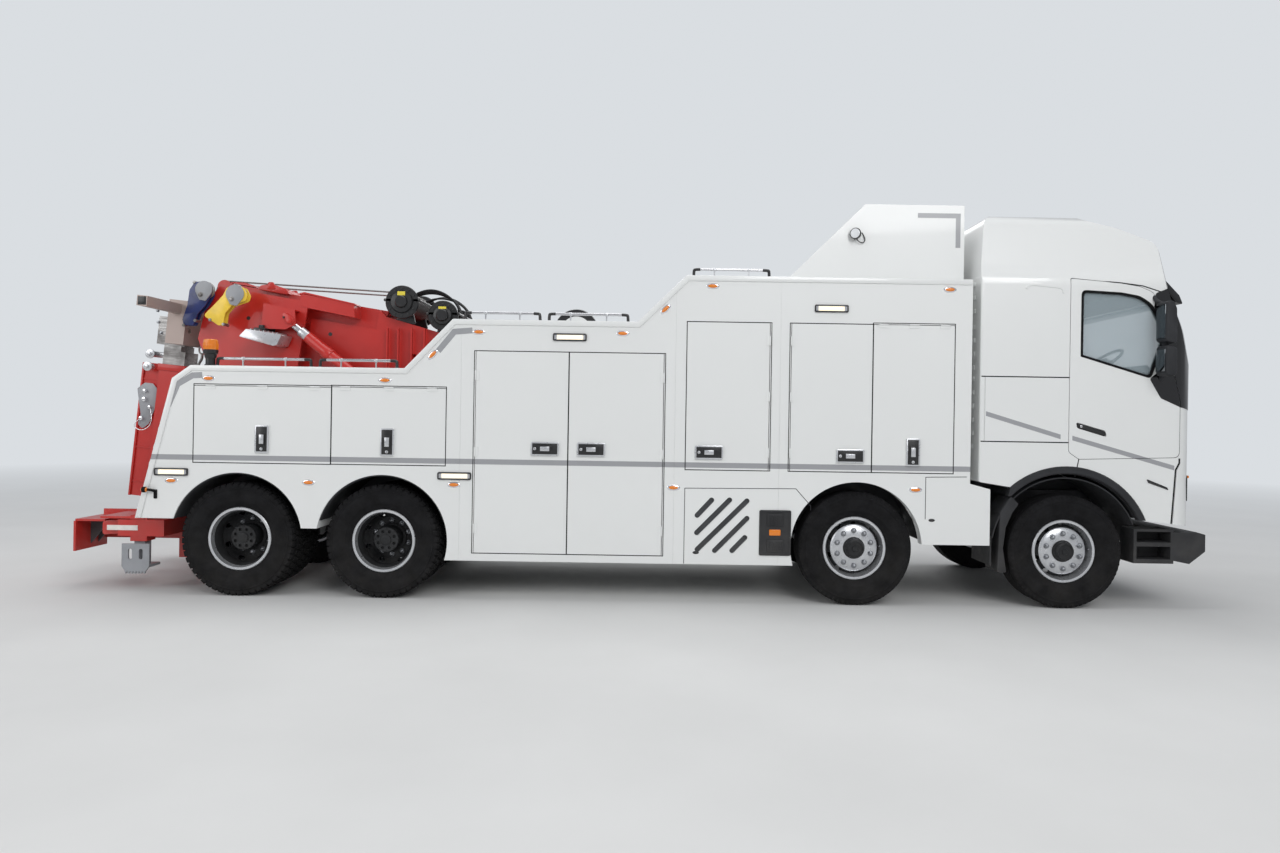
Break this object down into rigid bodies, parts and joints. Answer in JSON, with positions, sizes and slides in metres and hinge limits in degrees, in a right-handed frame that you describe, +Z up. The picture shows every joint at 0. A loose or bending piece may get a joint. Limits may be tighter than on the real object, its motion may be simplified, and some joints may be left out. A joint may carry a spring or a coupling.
{
  "type": "heavy tow truck",
  "caption": "Heavy recovery truck with a white locker body, a tilting cab, a red extending boom with winches and a folded underlift.",
  "frame": {"origin": "on the ground under the middle of the overall box", "axes": "+X forwards, +Y to the vehicle's left, +Z up"},
  "size_m": [10.904, 2.92, 3.862],
  "materials": {
    "chassis_grey": "satin",
    "white_paint": "gloss",
    "red_paint": "gloss",
    "black_paint": "satin",
    "yellow_paint": "satin",
    "dark_plastic": "matt",
    "steel_tube": "satin",
    "worn_steel": "worn",
    "primer": "matt",
    "silver_rim": "satin",
    "tyre": "matt",
    "glass": "clear",
    "trim": "matt"
  },
  "bodies": {
    "chassis": {"frame": "chassis_grey", "engine_block": "chassis_grey", "axles": "chassis_grey", "body_shell": "white_paint", "mudguards": "dark_plastic", "top_fairing": "white_paint", "hand_rails": "steel_tube", "wrecker_frame": "red_paint", "bumper": "dark_plastic"},
    "cab": {"cab_shell": "white_paint", "cab_glass": "glass", "cab_interior": "trim"},
    "cab_door_right": {"cab_door_right": "white_paint", "door_glass_right": "glass"},
    "knuckle_1_right": {"knuckle_1_right": "chassis_grey"},
    "knuckle_2_right": {"knuckle_2_right": "chassis_grey"},
    "wheel_1_right": {"tyre_1_right": "tyre", "rim_1_right": "silver_rim"},
    "wheel_2_right": {"tyre_2_right": "tyre", "rim_2_right": "silver_rim"},
    "wheel_3_right": {"tyre_3_right": "tyre", "rim_3_right": "silver_rim"},
    "wheel_4_right": {"tyre_4_right": "tyre", "rim_4_right": "silver_rim"},
    "stabiliser_right": {"stabiliser_right": "worn_steel"},
    "cab_door_left": {"cab_door_left": "white_paint", "door_glass_left": "glass"},
    "knuckle_1_left": {"knuckle_1_left": "chassis_grey"},
    "knuckle_2_left": {"knuckle_2_left": "chassis_grey"},
    "wheel_1_left": {"tyre_1_left": "tyre", "rim_1_left": "silver_rim"},
    "wheel_2_left": {"tyre_2_left": "tyre", "rim_2_left": "silver_rim"},
    "wheel_3_left": {"tyre_3_left": "tyre", "rim_3_left": "silver_rim"},
    "wheel_4_left": {"tyre_4_left": "tyre", "rim_4_left": "silver_rim"},
    "stabiliser_left": {"stabiliser_left": "worn_steel"},
    "locker_door_right_1": {"locker_door_right_1": "white_paint"},
    "locker_door_right_2": {"locker_door_right_2": "white_paint"},
    "locker_door_right_3": {"locker_door_right_3": "white_paint"},
    "locker_door_right_4": {"locker_door_right_4": "white_paint"},
    "locker_door_right_5": {"locker_door_right_5": "white_paint"},
    "locker_door_right_6": {"locker_door_right_6": "white_paint"},
    "locker_door_right_7": {"locker_door_right_7": "white_paint"},
    "locker_door_left_1": {"locker_door_left_1": "white_paint"},
    "locker_door_left_2": {"locker_door_left_2": "white_paint"},
    "locker_door_left_3": {"locker_door_left_3": "white_paint"},
    "locker_door_left_4": {"locker_door_left_4": "white_paint"},
    "locker_door_left_5": {"locker_door_left_5": "white_paint"},
    "locker_door_left_6": {"locker_door_left_6": "white_paint"},
    "locker_door_left_7": {"locker_door_left_7": "white_paint"},
    "boom": {"boom_outer": "red_paint", "winches": "black_paint", "hook_blocks": "yellow_paint"},
    "boom_tip": {"boom_inner": "red_paint"},
    "underlift_carriage": {"underlift_carriage": "red_paint"},
    "underlift_arm": {"underlift_outer": "red_paint"},
    "underlift_tip": {"underlift_inner": "worn_steel"},
    "crossbar": {"underlift_crossbar": "primer"}
  },
  "joints": [
    {"name": "cab_tilt", "type": "hinge", "parent": "chassis", "child": "cab", "pos_m": [5.277, 0, 0.855], "axis": [0, 1, 0], "range_deg": [0, 60]},
    {"name": "cab_door_right_hinge", "type": "hinge", "parent": "cab", "child": "cab_door_right", "pos_m": [5.188, -1.2523, 2], "axis": [0, 0, 1], "range_deg": [0, 70]},
    {"name": "steer_1_right", "type": "hinge", "parent": "chassis", "child": "knuckle_1_right", "pos_m": [4.122, -0.93, 0.538], "axis": [0, 0, 1], "range_deg": [-38, 38]},
    {"name": "steer_2_right", "type": "hinge", "parent": "chassis", "child": "knuckle_2_right", "pos_m": [2.132, -0.93, 0.538], "axis": [0, 0, 1], "range_deg": [-26, 26]},
    {"name": "wheel_1_right_spin", "type": "hinge", "parent": "knuckle_1_right", "child": "wheel_1_right", "pos_m": [4.122, -1.0825, 0.538], "axis": [0, 1, 0], "continuous": true},
    {"name": "wheel_2_right_spin", "type": "hinge", "parent": "knuckle_2_right", "child": "wheel_2_right", "pos_m": [2.132, -1.0825, 0.538], "axis": [0, 1, 0], "continuous": true},
    {"name": "wheel_3_right_spin", "type": "hinge", "parent": "chassis", "child": "wheel_3_right", "pos_m": [-2.343, -1.0825, 0.538], "axis": [0, 1, 0], "continuous": true},
    {"name": "wheel_4_right_spin", "type": "hinge", "parent": "chassis", "child": "wheel_4_right", "pos_m": [-3.713, -1.0825, 0.538], "axis": [0, 1, 0], "continuous": true},
    {"name": "stabiliser_right_down", "type": "slide", "parent": "chassis", "child": "stabiliser_right", "axis": [0, 0, -1], "range_m": [0, 0.15]},
    {"name": "cab_door_left_hinge", "type": "hinge", "parent": "cab", "child": "cab_door_left", "pos_m": [5.188, 1.2523, 2], "axis": [0, 0, -1], "range_deg": [0, 70]},
    {"name": "steer_1_left", "type": "hinge", "parent": "chassis", "child": "knuckle_1_left", "pos_m": [4.122, 0.93, 0.538], "axis": [0, 0, 1], "range_deg": [-38, 38]},
    {"name": "steer_2_left", "type": "hinge", "parent": "chassis", "child": "knuckle_2_left", "pos_m": [2.132, 0.93, 0.538], "axis": [0, 0, 1], "range_deg": [-26, 26]},
    {"name": "wheel_1_left_spin", "type": "hinge", "parent": "knuckle_1_left", "child": "wheel_1_left", "pos_m": [4.122, 1.0825, 0.538], "axis": [0, 1, 0], "continuous": true},
    {"name": "wheel_2_left_spin", "type": "hinge", "parent": "knuckle_2_left", "child": "wheel_2_left", "pos_m": [2.132, 1.0825, 0.538], "axis": [0, 1, 0], "continuous": true},
    {"name": "wheel_3_left_spin", "type": "hinge", "parent": "chassis", "child": "wheel_3_left", "pos_m": [-2.343, 1.0825, 0.538], "axis": [0, 1, 0], "continuous": true},
    {"name": "wheel_4_left_spin", "type": "hinge", "parent": "chassis", "child": "wheel_4_left", "pos_m": [-3.713, 1.0825, 0.538], "axis": [0, 1, 0], "continuous": true},
    {"name": "stabiliser_left_down", "type": "slide", "parent": "chassis", "child": "stabiliser_left", "axis": [0, 0, -1], "range_m": [0, 0.15]},
    {"name": "locker_door_right_1_hinge", "type": "hinge", "parent": "chassis", "child": "locker_door_right_1", "pos_m": [-3.479, -1.2773, 1.991], "axis": [-1, 0, 0], "range_deg": [0, 90]},
    {"name": "locker_door_right_2_hinge", "type": "hinge", "parent": "chassis", "child": "locker_door_right_2", "pos_m": [-2.291, -1.2773, 1.996], "axis": [-1, 0, 0], "range_deg": [0, 90]},
    {"name": "locker_door_right_3_hinge", "type": "hinge", "parent": "chassis", "child": "locker_door_right_3", "pos_m": [-1.478, -1.2773, 1.401], "axis": [0, 0, -1], "range_deg": [0, 90]},
    {"name": "locker_door_right_4_hinge", "type": "hinge", "parent": "chassis", "child": "locker_door_right_4", "pos_m": [0.3, -1.2773, 1.401], "axis": [0, 0, 1], "range_deg": [0, 90]},
    {"name": "locker_door_right_5_hinge", "type": "hinge", "parent": "chassis", "child": "locker_door_right_5", "pos_m": [1.296, -1.2773, 1.962], "axis": [0, 0, 1], "range_deg": [0, 90]},
    {"name": "locker_door_right_6_hinge", "type": "hinge", "parent": "chassis", "child": "locker_door_right_6", "pos_m": [1.492, -1.2773, 1.962], "axis": [0, 0, -1], "range_deg": [0, 90]},
    {"name": "locker_door_right_7_hinge", "type": "hinge", "parent": "chassis", "child": "locker_door_right_7", "pos_m": [2.65, -1.2773, 2.662], "axis": [-1, 0, 0], "range_deg": [0, 90]},
    {"name": "locker_door_left_1_hinge", "type": "hinge", "parent": "chassis", "child": "locker_door_left_1", "pos_m": [-3.479, 1.2773, 1.991], "axis": [1, 0, 0], "range_deg": [0, 90]},
    {"name": "locker_door_left_2_hinge", "type": "hinge", "parent": "chassis", "child": "locker_door_left_2", "pos_m": [-2.291, 1.2773, 1.996], "axis": [1, 0, 0], "range_deg": [0, 90]},
    {"name": "locker_door_left_3_hinge", "type": "hinge", "parent": "chassis", "child": "locker_door_left_3", "pos_m": [-1.478, 1.2773, 1.401], "axis": [0, 0, 1], "range_deg": [0, 90]},
    {"name": "locker_door_left_4_hinge", "type": "hinge", "parent": "chassis", "child": "locker_door_left_4", "pos_m": [0.3, 1.2773, 1.401], "axis": [0, 0, -1], "range_deg": [0, 90]},
    {"name": "locker_door_left_5_hinge", "type": "hinge", "parent": "chassis", "child": "locker_door_left_5", "pos_m": [1.296, 1.2773, 1.962], "axis": [0, 0, -1], "range_deg": [0, 90]},
    {"name": "locker_door_left_6_hinge", "type": "hinge", "parent": "chassis", "child": "locker_door_left_6", "pos_m": [1.492, 1.2773, 1.962], "axis": [0, 0, 1], "range_deg": [0, 90]},
    {"name": "locker_door_left_7_hinge", "type": "hinge", "parent": "chassis", "child": "locker_door_left_7", "pos_m": [2.65, 1.2773, 2.662], "axis": [1, 0, 0], "range_deg": [0, 90]},
    {"name": "boom_lift", "type": "hinge", "parent": "chassis", "child": "boom", "pos_m": [-2.128, 0, 2.42], "axis": [0, 1, 0], "range_deg": [0, 40]},
    {"name": "boom_extend", "type": "slide", "parent": "boom", "child": "boom_tip", "axis": [-0.9877, 0, 0.1564], "range_m": [0, 1.1]},
    {"name": "underlift_lower", "type": "slide", "parent": "chassis", "child": "underlift_carriage", "axis": [0, 0, -1], "range_m": [0, 0.3]},
    {"name": "underlift_fold", "type": "hinge", "parent": "underlift_carriage", "child": "underlift_arm", "pos_m": [-5.113, 0, 0.7], "axis": [0, -1, 0], "range_deg": [0, 98]},
    {"name": "underlift_extend", "type": "slide", "parent": "underlift_arm", "child": "underlift_tip", "axis": [0.0958, 0, 0.9954], "range_m": [0, 0.9]},
    {"name": "crossbar_swivel", "type": "hinge", "parent": "underlift_tip", "child": "crossbar", "pos_m": [-4.85491, 0, 2.62914], "axis": [0.9954, 0, -0.0958], "range_deg": [-20, 20]}
  ],
  "couplings": [
    {"joint": "steer_1_left", "follows": "steer_1_right", "ratio": 1},
    {"joint": "steer_2_right", "follows": "steer_1_right", "ratio": 0.66},
    {"joint": "steer_2_left", "follows": "steer_1_right", "ratio": 0.66}
  ]
}
